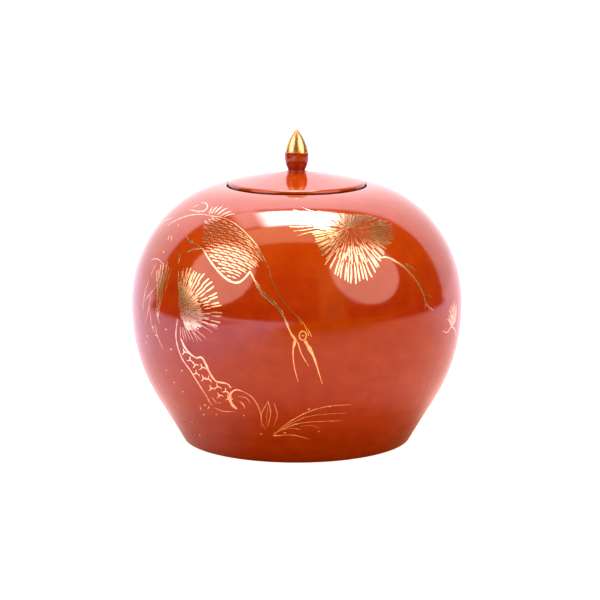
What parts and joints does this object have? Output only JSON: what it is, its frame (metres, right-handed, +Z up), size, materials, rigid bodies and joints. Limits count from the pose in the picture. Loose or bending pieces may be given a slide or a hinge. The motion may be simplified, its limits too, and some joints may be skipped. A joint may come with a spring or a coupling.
{
  "type": "ginger jar",
  "caption": "Round glazed porcelain jar on a turned foot, with a shallow conical lift-off lid set in a recess, a bud-shaped finial and gilded bird and pine decoration.",
  "frame": {"origin": "centre of the foot ring's resting face", "axes": "+Z up along the jar's axis of rotation; -Y towards the side with the crane"},
  "size_m": [0.23, 0.23, 0.2178],
  "materials": {
    "coral_glaze": "opaque coral-red enamel, very glossy",
    "gilding": "fired gold film over the glaze, polished metal",
    "white_glaze": "clear glaze over white porcelain, glossy",
    "biscuit": "bare fired porcelain, matt"
  },
  "bodies": {
    "jar": {"jar_body": "coral_glaze"},
    "cover": {"lid": "coral_glaze", "finial": "gilding"}
  },
  "joints": [
    {"name": "lid_lift", "type": "slide", "parent": "jar", "child": "cover", "axis": [0, 0, 1], "range_m": [0, 0.12]}
  ]
}
